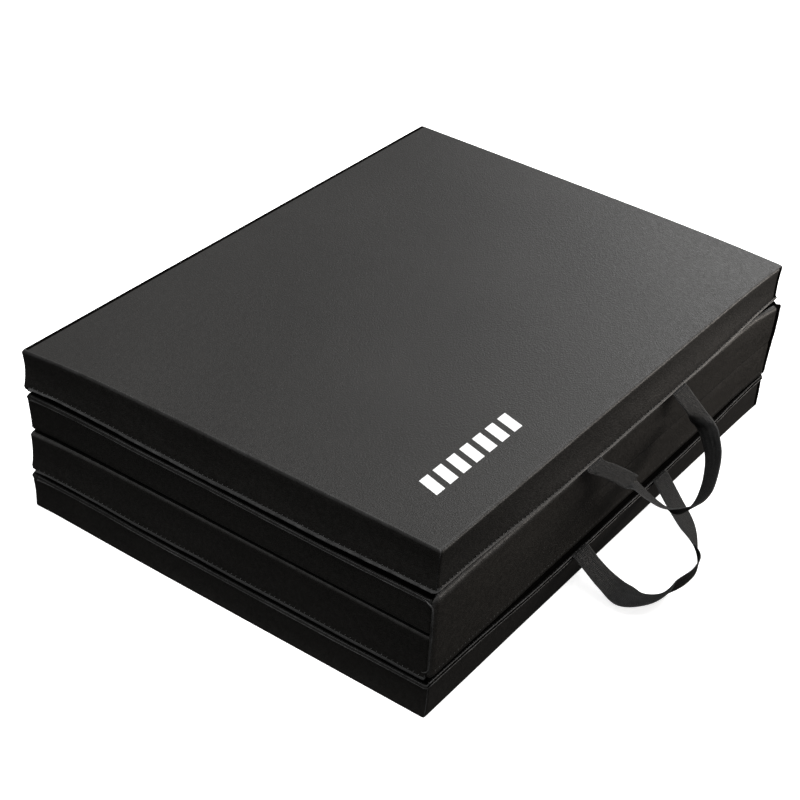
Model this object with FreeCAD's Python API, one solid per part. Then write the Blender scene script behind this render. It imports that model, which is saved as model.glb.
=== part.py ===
"""Folding gym mat: four foam panels in an accordion stack, with two carry handles.

Millimetres, +Z up. The origin is the centre of the face that the folded stack
rests on. X runs along the fold lines, the handles are on the -Y side, and the
panels are numbered from the top: panel 1 on top, panel 4 on the floor.

Panels 1-2 and 3-4 are joined along the back (+Y) edge, where their sewn faces
meet. Panels 2-3 are joined along the front (-Y) edge by a tall facing.
"""
import FreeCAD, Part
import os

from FreeCAD import Vector

# Driving dimensions
LENGTH = 600.0              # of each panel, along the fold lines (X)
DEPTH = 450.0               # of each panel, front to back (Y)
PITCH = 43.5                # height of one panel in the stack
PANELS = 4
PANEL_GAP = 0.8             # between neighbouring panels
COVER = 1.2                 # thickness of the cover's skin
HINGE_STRIP = 1.0           # thickness of the cloth that joins two panels
STRAP_WIDTH = 25.0
STRAP_THICKNESS = 1.4

FRONT = -DEPTH / 2
BACK = DEPTH / 2

# Panel shape
CORNER_R = 9.0              # upright corners
EDGE_R = 5.0                # folded edge round the outer face
CORE_CLEARANCE = 0.3
ZIP_POCKET = 3.0            # foam cut back behind the zip
WELT_PROUD = 1.2
WELT_HEIGHT = 2.4
WELT_INSET = 1.8            # from the sewn edge to the welt
WELT_STOP = 9.0             # where the welt ends, short of the back face
STRIP_SHORT = 4.0           # hinge strips end this far inside the panel's ends
BACK_LEAF = 15.0            # height of each leaf of a back hinge

# Zip in the right-hand (+X) side of each panel
ZIP_LENGTH = 400.0
ZIP_SLOT = 9.0
TAPE_WIDTH = 11.5
TAPE_THICKNESS = 0.8
TAPE_SPLIT = 0.6            # between the two halves
COIL_WIDTH = 3.6
COIL_THICKNESS = 1.5
STOP_LENGTH = 3.0
SLIDER_LENGTH = 11.0
SLIDER_WALL = 1.0
SLIDER_CLEARANCE = 0.4
SLIDER_START = 190.0        # Y of the closed slider
BAIL_LENGTH = 7.0
BAIL_WIDTH = 1.6
BAIL_WINDOW = (4.4, 2.0)    # along Y, and out from the slider
BAIL_BAR = 0.8
PULL_BAR = 0.9              # thickness of the pull and of its cross-bar
PULL_WIDTH = 6.0
PULL_EYE = 2.8              # width of the hole that the bail passes through
PULL_NECK = 5.0             # from the cross-bar's centre to the solid tab
PULL_REACH = 22.0

# The zip slider's channel, its outer face, and the line that its pull turns about
SLIDER_IN = LENGTH / 2 - COVER + SLIDER_CLEARANCE
SLIDER_TOP = LENGTH / 2 - COVER + COIL_THICKNESS + SLIDER_CLEARANCE + SLIDER_WALL
PIVOT_X = SLIDER_TOP + BAIL_WINDOW[1] / 2

# Half of the gap between a handle's sewn end and its loop, at the line where it bends
ROOT_BEND_GAP = 1.0

# Carry handles: the strap's centre line from one sewn end to the other, and the
# direction across the strap at each point. The upper loop droops over the lower one.
LOWER_LOOP = [
    ((-72.5, -233.5, 36.9), (1, 0, 0)),
    ((-75, -247, 30), (1, 0, 0)),
    ((-77, -263, 22.5), (1, 0, 0.1)),
    ((-77, -281, 16), (0.9, 0.1, 0.3)),
    ((-66, -298, 13.5), (0.7, 0.65, -0.25)),
    ((-51, -306, 13.3), (0.3, 0.7, -0.65)),
    ((-36, -309, 13.3), (0.1, 0.35, -0.93)),
    ((-12, -314, 13.3), (0, 0.25, -0.97)),
    ((10, -311, 13.8), (0.15, 0.1, -0.97)),
    ((27, -297, 16), (0.55, -0.15, -0.8)),
    ((44, -279, 21), (0.95, -0.2, -0.3)),
    ((59, -255, 29), (1, -0.1, -0.1)),
    ((72.5, -233.5, 36.9), (1, 0, 0)),
]
UPPER_LOOP = [
    ((-67, -233.5, 129.5), (1, 0, 0)),
    ((-51, -241, 118), (1, 0, 0)),
    ((-32, -250, 101.5), (1, 0.1, 0)),
    ((-25, -264, 88), (0.5, 0.78, -0.39)),
    ((-13, -279, 76), (0.4, 0.75, -0.45)),
    ((8, -291, 66), (0, 0.65, -0.75)),
    ((34, -293, 64), (0.1, 0.65, -0.75)),
    ((60, -287, 69), (0.3, 0.7, -0.65)),
    ((84, -276, 79), (0.3, 0.8, -0.5)),
    ((95, -263, 92), (0.1, 0.95, -0.25)),
    ((95, -256, 100), (-0.45, 0.85, 0.05)),
    ((93.5, -249, 109), (-0.9, 0.35, 0.2)),
    ((86, -233.5, 129.5), (-1, 0, 0)),
]
# Height of each handle's sewn ends, which stand straight out of the front
LOWER_ROOT_Z = 37.6
UPPER_ROOT_Z = 131.7


def export(name, solids):
    """Write one node: a single solid, or a group of separate ones."""
    shape = solids[0] if len(solids) == 1 else Part.makeCompound(solids)
    for solid in shape.Solids:
        if not solid.isValid() or solid.Volume <= 0:
            raise RuntimeError("bad solid in " + name)
    shape.exportStep("parts/" + name + ".step")


def box(x0, x1, y0, y1, z0, z1):
    """A box given by its limits along each axis."""
    return Part.makeBox(x1 - x0, y1 - y0, z1 - z0, Vector(x0, y0, z0))


def rounded_block(x0, x1, y0, y1, z0, z1, corner):
    """A block with rounded upright corners."""
    block = box(x0, x1, y0, y1, z0, z1)
    upright = [e for e in block.Edges if abs(e.tangentAt(e.FirstParameter).z) > 0.99]
    return block.makeFillet(corner, upright)


def round_edge_at(shape, z, radius):
    """Round every edge that lies in the plane at height z."""
    rim = [e for e in shape.Edges if all(abs(v.Z - z) < 1e-6 for v in e.Vertexes)]
    return shape.makeFillet(radius, rim)


def panel_heights(k):
    """Lowest and highest Z of panel k."""
    low = (PANELS - k) * PITCH + (PANEL_GAP / 2 if k < PANELS else 0)
    high = (PANELS + 1 - k) * PITCH - (PANEL_GAP / 2 if k > 1 else 0)
    return low, high


def sewn_on_top(k):
    """Panels 2 and 4 have their sewn face on top, panels 1 and 3 underneath."""
    return k % 2 == 0


def front_face(k):
    """Y of the cover's front: set in where the tall facing lies over it."""
    return FRONT + HINGE_STRIP if k in (2, 3) else FRONT


def cover_block(k, inset, bottom, top):
    """The panel's outline, set in by inset, between two heights, round at its outer face."""
    half = LENGTH / 2 - inset
    block = rounded_block(
        -half, half,
        front_face(k) + inset, BACK - HINGE_STRIP - inset,
        bottom, top,
        CORNER_R - inset,
    )
    outer_z = bottom if sewn_on_top(k) else top
    return round_edge_at(block, outer_z, EDGE_R - inset)


def panel_cover(k):
    """A tray of cover cloth: the outer face and the four walls, with a slot for the zip."""
    low, high = panel_heights(k)
    if sewn_on_top(k):
        outer = cover_block(k, 0, low, high - COVER)
        inner = cover_block(k, COVER, low + COVER, high - COVER + 1)
    else:
        outer = cover_block(k, 0, low + COVER, high)
        inner = cover_block(k, COVER, low + COVER - 1, high - COVER)
    middle = (low + high) / 2
    slot = box(
        LENGTH / 2 - 2 * COVER, LENGTH / 2 + COVER,
        -ZIP_LENGTH / 2, ZIP_LENGTH / 2,
        middle - ZIP_SLOT / 2, middle + ZIP_SLOT / 2,
    )
    return outer.cut(inner).cut(slot)


def panel_inner_face(k):
    """The sheet sewn over the open side of the tray."""
    low, high = panel_heights(k)
    z0 = high - COVER if sewn_on_top(k) else low
    return rounded_block(
        -LENGTH / 2, LENGTH / 2, front_face(k), BACK - HINGE_STRIP, z0, z0 + COVER, CORNER_R
    )


def panel_core(k):
    """The foam block, cut back behind the zip."""
    low, high = panel_heights(k)
    inset = COVER + CORE_CLEARANCE
    core = cover_block(k, inset, low + inset, high - inset)
    pocket = box(LENGTH / 2 - inset - ZIP_POCKET, LENGTH, -DEPTH, DEPTH, low, high)
    return core.cut(pocket)


def panel_welt(k):
    """The welt that stands out of the sewn edge, on the two ends and the front."""
    low, high = panel_heights(k)
    if sewn_on_top(k):
        z0 = high - WELT_INSET - WELT_HEIGHT
    else:
        z0 = low + WELT_INSET
    z1 = z0 + WELT_HEIGHT
    outside = rounded_block(
        -LENGTH / 2 - WELT_PROUD, LENGTH / 2 + WELT_PROUD,
        FRONT - WELT_PROUD, BACK + WELT_PROUD,
        z0, z1, CORNER_R + WELT_PROUD,
    )
    inside = rounded_block(
        -LENGTH / 2, LENGTH / 2, FRONT, BACK, z0 - 1, z1 + 1, CORNER_R
    )
    back_end = box(-LENGTH, LENGTH, BACK - WELT_STOP, DEPTH, z0 - 1, z1 + 1)
    return outside.cut(inside).cut(back_end)


def back_hinge_leaf(k):
    """Half of the hinge cloth at the back, next to the panel's sewn edge."""
    low, high = panel_heights(k)
    z0, z1 = (high - BACK_LEAF, high) if sewn_on_top(k) else (low, low + BACK_LEAF)
    half = LENGTH / 2 - CORNER_R - STRIP_SHORT
    return box(-half, half, BACK - HINGE_STRIP, BACK, z0, z1)


def front_facing(k):
    """Half of the tall facing over the fronts of panels 2 and 3."""
    low, high = panel_heights(k)
    half = LENGTH / 2 - CORNER_R - STRIP_SHORT
    return box(-half, half, FRONT, FRONT + HINGE_STRIP, low, high)


def zip_tape(k):
    """The two halves of the tape, behind the slot."""
    middle = sum(panel_heights(k)) / 2
    outer_x = LENGTH / 2 - COVER
    halves = []
    for side in (-1, 1):
        near = middle + side * TAPE_SPLIT / 2
        far = near + side * TAPE_WIDTH
        halves.append(
            box(
                outer_x - TAPE_THICKNESS, outer_x,
                -ZIP_LENGTH / 2, ZIP_LENGTH / 2,
                min(near, far), max(near, far),
            )
        )
    return halves


def zip_coil(k):
    """The closed teeth, on the tape and between the end stops."""
    middle = sum(panel_heights(k)) / 2
    inner_x = LENGTH / 2 - COVER
    end = ZIP_LENGTH / 2 - STOP_LENGTH
    return box(
        inner_x, inner_x + COIL_THICKNESS, -end, end,
        middle - COIL_WIDTH / 2, middle + COIL_WIDTH / 2,
    )


def zip_stops(k):
    """A stop at each end of the teeth."""
    middle = sum(panel_heights(k)) / 2
    inner_x = LENGTH / 2 - COVER
    stops = []
    for y in (-ZIP_LENGTH / 2, ZIP_LENGTH / 2 - STOP_LENGTH):
        stop = box(
            inner_x, inner_x + COIL_THICKNESS, y, y + STOP_LENGTH,
            middle - COIL_WIDTH / 2, middle + COIL_WIDTH / 2,
        )
        stops.append(stop)
    return stops


def zip_slider(k):
    """A channel over the teeth, with the bail that holds the pull."""
    middle = sum(panel_heights(k)) / 2
    y0 = SLIDER_START - SLIDER_LENGTH / 2
    y1 = SLIDER_START + SLIDER_LENGTH / 2
    inner_half = COIL_WIDTH / 2 + SLIDER_CLEARANCE
    outer_half = inner_half + SLIDER_WALL
    body = rounded_slider(y0, y1, middle, outer_half)
    channel = box(
        SLIDER_IN - 1, SLIDER_TOP - SLIDER_WALL, y0 - 1, y1 + 1,
        middle - inner_half, middle + inner_half,
    )
    bail = box(
        SLIDER_TOP - SLIDER_WALL / 2, SLIDER_TOP + BAIL_WINDOW[1] + BAIL_BAR,
        SLIDER_START - BAIL_LENGTH / 2, SLIDER_START + BAIL_LENGTH / 2,
        middle - BAIL_WIDTH / 2, middle + BAIL_WIDTH / 2,
    )
    window = box(
        SLIDER_TOP, SLIDER_TOP + BAIL_WINDOW[1],
        SLIDER_START - BAIL_WINDOW[0] / 2, SLIDER_START + BAIL_WINDOW[0] / 2,
        middle - BAIL_WIDTH, middle + BAIL_WIDTH,
    )
    return body.cut(channel).fuse(bail.cut(window)).removeSplitter()


def rounded_slider(y0, y1, middle, half):
    """The slider's block, with the four corners of its plan rounded."""
    block = box(SLIDER_IN, SLIDER_TOP, y0, y1, middle - half, middle + half)
    across = [e for e in block.Edges if abs(e.tangentAt(e.FirstParameter).x) > 0.99]
    return block.makeFillet(half / 3, across)


def zip_pull(k):
    """A flat tab on a cross-bar that turns in the bail; it lies along the teeth."""
    middle = sum(panel_heights(k)) / 2
    x0 = PIVOT_X - PULL_BAR / 2
    x1 = PIVOT_X + PULL_BAR / 2
    tab = box(
        x0, x1, SLIDER_START - PULL_REACH, SLIDER_START + PULL_BAR / 2,
        middle - PULL_WIDTH / 2, middle + PULL_WIDTH / 2,
    )
    across = [e for e in tab.Edges if abs(e.tangentAt(e.FirstParameter).x) > 0.99]
    tab = tab.makeFillet(PULL_BAR / 2.5, across)
    eye = box(
        x0 - 1, x1 + 1, SLIDER_START - PULL_NECK, SLIDER_START - PULL_BAR / 2,
        middle - PULL_EYE / 2, middle + PULL_EYE / 2,
    )
    return tab.cut(eye)


def strap_section(centre, across, along):
    """The strap's cross-section: a rectangle round a point of its centre line."""
    across = Vector(across).normalize()
    normal = along.cross(across).normalize()
    side = across * (STRAP_WIDTH / 2)
    rise = normal * (STRAP_THICKNESS / 2)
    corners = [
        centre + side + rise,
        centre - side + rise,
        centre - side - rise,
        centre + side - rise,
    ]
    return Part.makePolygon(corners + corners[:1])


def strap(route):
    """A flat strap along a route of points, each with the direction across the strap."""
    points = [Vector(*point) for point, _ in route]
    sections = []
    for i, (_, across) in enumerate(route):
        before = points[max(i - 1, 0)]
        after = points[min(i + 1, len(points) - 1)]
        along = (after - before).normalize()
        sections.append(strap_section(points[i], Vector(*across), along))
    return Part.makeLoft(sections, True, True)


def handle_roots(loop, root_z):
    """The strap's two sewn ends, from the seam to just short of the bend line."""
    roots = []
    for point, _ in (loop[0], loop[-1]):
        end_y = point[1] + 2 * ROOT_BEND_GAP
        start = (point[0], FRONT, root_z)
        end = (point[0], end_y, root_z)
        roots.append(strap([(start, (1, 0, 0)), (end, (1, 0, 0))]))
    return roots


def main():
    os.makedirs("parts", exist_ok=True)
    for k in range(1, PANELS + 1):
        number = str(k)
        export("foam_core_" + number, [panel_core(k)])
        export("outer_cover_" + number, [panel_cover(k)])
        export("inner_face_" + number, [panel_inner_face(k)])
        export("edge_welt_" + number, [panel_welt(k)])
        export("back_hinge_leaf_" + number, [back_hinge_leaf(k)])
        export("zip_tape_" + number, zip_tape(k))
        export("zip_teeth_" + number, [zip_coil(k)])
        export("zip_stops_" + number, zip_stops(k))
        export("zip_slider_" + number, [zip_slider(k)])
        export("zip_pull_" + number, [zip_pull(k)])
    export("front_facing_2", [front_facing(2)])
    export("front_facing_3", [front_facing(3)])
    export("carry_handle_1", [strap(UPPER_LOOP)])
    export("carry_handle_4", [strap(LOWER_LOOP)])
    export("handle_roots_1", handle_roots(UPPER_LOOP, UPPER_ROOT_Z))
    export("handle_roots_4", handle_roots(LOWER_LOOP, LOWER_ROOT_Z))


main()
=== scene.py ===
"""The looks of a folding gym mat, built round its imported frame.

Four foam panels in leatherette covers lie folded in a stack. Each cover is a soft
shell with a welt and stitching at its sewn edge. A tall facing joins panels 2 and 3
at the front, and strips join panels 1-2 and 3-4 at the back. Metres, in the row frame.
"""
import math

import bpy
import numpy as np
from mathutils import Matrix, Vector


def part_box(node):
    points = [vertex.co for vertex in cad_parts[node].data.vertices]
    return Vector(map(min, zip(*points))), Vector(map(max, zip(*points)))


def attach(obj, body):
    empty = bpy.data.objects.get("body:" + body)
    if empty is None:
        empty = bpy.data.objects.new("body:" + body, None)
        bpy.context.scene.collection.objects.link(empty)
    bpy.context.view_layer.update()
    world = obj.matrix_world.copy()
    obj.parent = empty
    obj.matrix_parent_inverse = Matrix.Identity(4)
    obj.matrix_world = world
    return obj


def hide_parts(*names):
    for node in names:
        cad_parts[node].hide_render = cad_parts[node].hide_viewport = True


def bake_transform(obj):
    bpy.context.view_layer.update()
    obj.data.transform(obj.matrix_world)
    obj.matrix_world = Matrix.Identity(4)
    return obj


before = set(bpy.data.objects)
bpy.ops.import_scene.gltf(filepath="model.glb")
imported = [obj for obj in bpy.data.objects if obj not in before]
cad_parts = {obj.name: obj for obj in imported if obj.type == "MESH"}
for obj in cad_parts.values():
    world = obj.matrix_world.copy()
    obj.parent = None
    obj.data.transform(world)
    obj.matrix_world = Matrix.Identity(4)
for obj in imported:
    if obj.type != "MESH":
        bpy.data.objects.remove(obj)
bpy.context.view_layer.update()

MM = 0.001
PANELS = (1, 2, 3, 4)

# Camera: its place, the directions of its axes, and its lens
CAMERA_PLACE = (-1.2226, -0.8053, 1.0576)
CAMERA_RIGHT = (0.589476, -0.806127, 0.051735)
CAMERA_DOWN = (-0.430003, -0.367365, -0.824706)
CAMERA_FORWARD = (0.683824, 0.463898, -0.563190)
CAMERA_LENS = 81.32
SENSOR = 36.0

def in_mm(table):
    """The panels' entries of a table, from millimetres to metres."""
    return {k: np.multiply(entry, MM) for k, entry in table.items()}


# Covers
CORNER_R = in_mm({1: 3.9, 2: 5.4, 3: 5.4, 4: 2.8})    # upright corners
EDGE_R = in_mm({1: 3.0, 2: 2.4, 3: 4.2, 4: 1.6})      # fold round the outer face
CELL = 4 * MM               # size of a cover's mesh cells
CORNER_LINES = 4            # mesh lines across half of an upright corner
BORDER = 1.9 * MM           # the outermost row of cells of a face
ZIP_HALF = 200 * MM         # half of the zip's length
ZIP_SLOT_HALF = 4.5 * MM
FACING_LIFT = 1.2 * MM      # the facing's surface, out from the fronts of panels 2 and 3
FACING_SINK = 2.6 * MM      # the welts of panels 2 and 3 are pressed in under the facing
LIP = 7.6 * MM              # depth of the lapped shoulder at the sewn edge of panels 2 and 4
STITCH_PITCH = 5.4 * MM

# How far the middle of the front seam swells out, where the handles pull at it
SEAM_SWELL = in_mm({1: 4.2, 2: 0.0, 3: 0.0, 4: 6.2})
# How far the middle of each wall sinks in, between the seam and the outer edge
WALL_SINK = in_mm({1: 1.9, 2: 0.7, 3: 1.2, 4: 0.1})
# How far the sewn edge reaches past the panel's own face on the left end, at some places
# from the front to the back, and the height over which that fades. Below 0 it keeps back.
SEAM_HANG_PLACES = np.multiply((-220, -120, 40, 100, 220), MM)
SEAM_HANG = in_mm({
    1: (0.0, 3.3, 3.2, 1.4, -4.8),
    2: (-3.0, -5.0, -1.6, -0.9, 4.2),
    3: (6.4, 6.4, 6.0, 5.4, -0.5),
    4: (-6.2, -7.0, -6.6, -5.6, -0.8),
})
SEAM_HANG_DEPTH = in_mm({1: 13, 2: 13, 3: 13, 4: 30})
# How far the left end stands out at the outer edge, or is drawn in
END_FLARE = in_mm({1: -3.2, 2: 0.0, 3: 0.0, 4: 3.0})
# How far the sewn edge wanders, and the folded outer edge
SEAM_WANDER = in_mm({1: 0.5, 2: 0.7, 3: 0.5, 4: 1.3})
EDGE_WANDER = in_mm({1: 0.3, 2: 0.7, 3: 0.7, 4: 0.5})
# How far the back left corner is moved (x, y), at the sewn edge and at the outer face.
# This fades out over the whole panel.
BACK_LEFT = in_mm({
    1: ((0.0, 1.8), (0.0, 2.9)),
    2: ((-2.4, 1.7), (0.8, -0.6)),
    3: ((-1.8, 1.2), (-0.3, 0.3)),
    4: ((-2.0, 1.4), (-0.5, 0.3)),
})
# How far ears stand out close to a corner, at the sewn edge and at the outer face
BACK_LEFT_EAR = in_mm({1: (8.6, 6.8), 2: (4.6, 4.8), 3: (5.6, 5.4), 4: (3.0, 2.2)})
FRONT_RIGHT_EAR = in_mm({1: (0.4, 1.6), 2: (8.7, 6.9), 3: (3.6, 6.3), 4: (2.2, 1.8)})
# How far the back right corner's outer edge flares (x, y)
BACK_RIGHT_FLARE = in_mm({1: (7.6, 2.8), 2: (0.0, 0.0), 3: (0.0, 0.0), 4: (0.5, 0.3)})
# Crown of each outer face; those that lie on something are almost flat
FACE_CROWN = in_mm({1: 1.4, 2: 0.2, 3: 0.2, 4: 0.0})

# Carry handles: the strap's centre line in millimetres, and the direction across it
LOWER_ROUTE = [
    ((-72.5, -233.5, 36.9), (1, 0, 0)),
    ((-75, -247, 30), (1, 0, 0)),
    ((-77, -263, 22.5), (1, 0, 0.1)),
    ((-77, -281, 16), (0.9, 0.1, 0.3)),
    ((-66, -298, 13.5), (0.7, 0.65, -0.25)),
    ((-51, -306, 13.3), (0.3, 0.7, -0.65)),
    ((-36, -309, 13.3), (0.1, 0.35, -0.93)),
    ((-12, -314, 13.3), (0, 0.25, -0.97)),
    ((10, -311, 13.8), (0.15, 0.1, -0.97)),
    ((27, -297, 16), (0.55, -0.15, -0.8)),
    ((44, -279, 21), (0.95, -0.2, -0.3)),
    ((59, -255, 29), (1, -0.1, -0.1)),
    ((72.5, -233.5, 36.9), (1, 0, 0)),
]
UPPER_ROUTE = [
    ((-67, -233.5, 129.5), (1, 0, 0)),
    ((-51, -241, 118), (1, 0, 0)),
    ((-31, -250.5, 101), (1, 0.03, 0)),
    ((-28.5, -253.5, 98), (0.90, 0.36, -0.23)),
    ((-23.5, -264, 88.5), (0.86, 0.42, -0.30)),
    ((-14, -278, 77), (0.70, 0.58, -0.42)),
    ((8, -291, 66), (0, 0.65, -0.75)),
    ((34, -293, 64), (0.1, 0.65, -0.75)),
    ((60, -287, 69), (0.3, 0.7, -0.65)),
    ((84, -276, 79), (0.3, 0.8, -0.5)),
    ((95, -263, 92), (0.1, 0.95, -0.25)),
    ((95, -256, 100), (-0.45, 0.85, 0.05)),
    ((93.5, -249, 109), (-0.9, 0.35, 0.2)),
    ((86, -233.5, 129.5), (-1, 0, 0)),
]
STRAP_WIDTH = 25 * MM
STRAP_THICKNESS = 1.4 * MM


# ---------------------------------------------------------------- numbers and meshes

def smooth(value):
    """0 below 0, 1 above 1, and a smooth step between."""
    t = np.clip(value, 0, 1)
    return t * t * (3 - 2 * t)


def waves(points, scale, seed, count=7):
    """Smooth, irregular values of about -1 to 1 at points; scale is in waves per metre.

    Every use has a seed of its own, so that no two surfaces are uneven in the same way.
    """
    rng = np.random.default_rng(seed)
    ways = rng.normal(size=(count, 3))
    ways /= np.linalg.norm(ways, axis=1)[:, None]
    ways *= (2 * np.pi * scale * rng.uniform(0.6, 1.5, count))[:, None]
    phases = rng.uniform(0, 2 * np.pi, count)
    return np.sin(np.asarray(points) @ ways.T + phases).sum(axis=1) / count * 1.8


def new_piece(name, shape, material, body=None, slot=None, wear=None, shades=None):
    """A smooth-shaded mesh object that rides on a body.

    shape is its points and its faces. wear says how much each vertex is scuffed by use and how
    much painted highlight it carries, for the material to read. shades gives faces the near-black
    painted shade of folds (1) or the dimmer painted shade of laps (2).
    """
    points, faces = shape
    mesh = bpy.data.meshes.new(name)
    mesh.from_pydata(np.asarray(points, float).tolist(), [], [list(map(int, f)) for f in faces])
    mesh.validate()
    mesh.shade_smooth()
    piece = bpy.data.objects.new(name, mesh)
    bpy.context.scene.collection.objects.link(piece)
    mesh.materials.append(material)
    if body:
        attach(piece, body)
    if shades is not None:
        assert len(shades) == len(mesh.polygons), name
        for extra in (FOLD_SHADE, LAP_SHADE)[:max(shades)]:
            mesh.materials.append(extra)
        mesh.polygons.foreach_set("material_index", np.asarray(shades, dtype=np.int32))
    if wear is not None:
        attribute = mesh.attributes.new("wear", "FLOAT", "POINT")
        attribute.data.foreach_set("value", np.asarray(wear, np.float32))
    return piece


def grid_faces(rows, columns, start=0, closed=False):
    """Quads between neighbouring rows and columns of a grid of points."""
    faces = []
    last = columns if closed else columns - 1
    for r in range(rows - 1):
        for c in range(last):
            d = (c + 1) % columns
            a = start + r * columns
            b = a + columns
            faces.append((a + c, b + c, b + d, a + d))
    return faces


def tube(sections):
    """Points and faces of a closed tube through an array of sections (count, sides, 3)."""
    count, sides = sections.shape[:2]
    faces = grid_faces(count, sides, closed=True)
    faces.append(tuple(range(sides)))
    faces.append(tuple((count - 1) * sides + i for i in reversed(range(sides))))
    return sections.reshape(-1, 3), faces


def slab(front, back):
    """Points and faces of a closed sheet between two grids of points (rows, columns, 3)."""
    rows, columns = front.shape[:2]
    size = rows * columns
    faces = grid_faces(rows, columns)
    faces += [tuple(reversed(f)) for f in grid_faces(rows, columns, size)]
    rim = rim_of(front.shape) @ (columns, 1)
    ahead = np.roll(rim, -1)
    faces += zip(ahead, rim, rim + size, ahead + size)
    return np.concatenate([front.reshape(-1, 3), back.reshape(-1, 3)]), faces


def merge(parts):
    """One list of points and faces from several."""
    points, faces, start = [], [], 0
    for some_points, some_faces in parts:
        points.append(some_points)
        faces += [tuple(i + start for i in f) for f in some_faces]
        start += len(some_points)
    return np.concatenate(points), faces


def beads(centres, along, outward, length, radius, sides=6):
    """Stitches: short capsules whose ends dip into the cloth."""
    along, outward = (np.broadcast_to(way, centres.shape) for way in (along, outward))
    ends = np.array([-0.5, -0.36, 0.0, 0.36, 0.5]) * length
    girth = np.array([0.35, 0.85, 1.0, 0.85, 0.35]) * radius
    dip = np.array([-0.9, -0.25, 0.1, -0.25, -0.9]) * radius
    across = np.cross(along, outward)
    turn = np.linspace(0, 2 * np.pi, sides, endpoint=False)[:, None]
    sine, cosine = np.sin(turn), np.cos(turn)
    parts = []
    for centre, way, out, side in zip(centres, along, outward, across):
        rings = [
            centre + way * e + out * (d + g * sine) + side * (g * cosine)
            for e, g, d in zip(ends, girth, dip)
        ]
        parts.append(tube(np.array(rings)))
    return merge(parts)


def unit(vectors):
    return vectors / np.linalg.norm(vectors, axis=-1, keepdims=True)


def spline(points, count):
    """A smooth line through points, at count even steps of its length."""
    p = np.asarray(points, float)
    ends = np.vstack([2 * p[0] - p[1], p, 2 * p[-1] - p[-2]])
    fine = []
    for a, b, c, d in zip(ends, ends[1:], ends[2:], ends[3:]):
        for u in np.linspace(0, 1, 24, endpoint=False):
            fine.append(
                0.5 * (2 * b + (c - a) * u + (2 * a - 5 * b + 4 * c - d) * u ** 2
                       + (3 * b - a - 3 * c + d) * u ** 3)
            )
    fine.append(p[-1])
    fine = np.array(fine)
    run = np.concatenate([[0], np.cumsum(np.linalg.norm(np.diff(fine[:, :3], axis=0), axis=1))])
    steps = np.linspace(0, run[-1], count)
    return np.stack([np.interp(steps, run, fine[:, i]) for i in range(fine.shape[1])], axis=1)


# ---------------------------------------------------------------- materials

def new_material(name, **constants):
    """A material, its node tree and its principled shader with some sockets set."""
    material = bpy.data.materials.new(name)
    material.use_nodes = True
    shader = material.node_tree.nodes["Principled BSDF"]
    for socket, value in constants.items():
        shader.inputs[socket.replace("_", " ")].default_value = value
    return material, material.node_tree, shader


def add_node(tree, kind, inputs=None, **settings):
    """A node; inputs are numbers for its sockets, or sockets to link to them."""
    node = tree.nodes.new("ShaderNode" + kind)
    for key, value in settings.items():
        setattr(node, key, value)
    for key, value in (inputs or {}).items():
        if isinstance(value, bpy.types.NodeSocket):
            tree.links.new(value, node.inputs[key])
        else:
            node.inputs[key].default_value = value
    return node


def ramp(tree, factor, stops):
    """A colour ramp of (position, colour) stops."""
    node = add_node(tree, "ValToRGB", {"Fac": factor})
    elements = node.color_ramp.elements
    while len(elements) < len(stops):
        elements.new(0.5)
    for element, (position, colour) in zip(elements, stops):
        element.position = position
        element.color = (*colour, 1)
    return node.outputs["Color"]


def scale_range(tree, value, low, high, to_low, to_high):
    """value from low..high stretched to to_low..to_high."""
    return add_node(
        tree, "MapRange",
        {"Value": value, "From Min": low, "From Max": high, "To Min": to_low, "To Max": to_high},
    ).outputs["Result"]


def maths(tree, operation, *values, **settings):
    """What a Math node makes of values, which are numbers or sockets."""
    node = add_node(tree, "Math", dict(enumerate(values)), operation=operation, **settings)
    return node.outputs[0]


def noise(tree, place, scale, detail, **more):
    """Smooth noise at a scale, with any other of the texture's sockets set."""
    inputs = {"Vector": place, "Scale": scale, "Detail": detail, **more}
    return add_node(tree, "TexNoise", inputs).outputs["Fac"]


def bump(tree, height, strength, distance, under=None):
    """The normal of a bump, laid over the one under it."""
    inputs = {"Height": height, "Strength": strength, "Distance": distance}
    if under:
        inputs["Normal"] = under
    return add_node(tree, "Bump", inputs).outputs["Normal"]


def mix_colours(tree, share, base, rubbed_and_lit):
    """The base colour with a share of the paler colour of scuffing and painted highlight."""
    return add_node(
        tree, "Mix", {0: share, 6: base, 7: (*rubbed_and_lit, 1)}, data_type="RGBA"
    ).outputs[2]


def connect(tree, shader, colour, roughness, normal):
    """Links the shader's colour, roughness and normal."""
    for socket, value in (("Base Color", colour), ("Roughness", roughness), ("Normal", normal)):
        tree.links.new(value, shader.inputs[socket])


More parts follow.
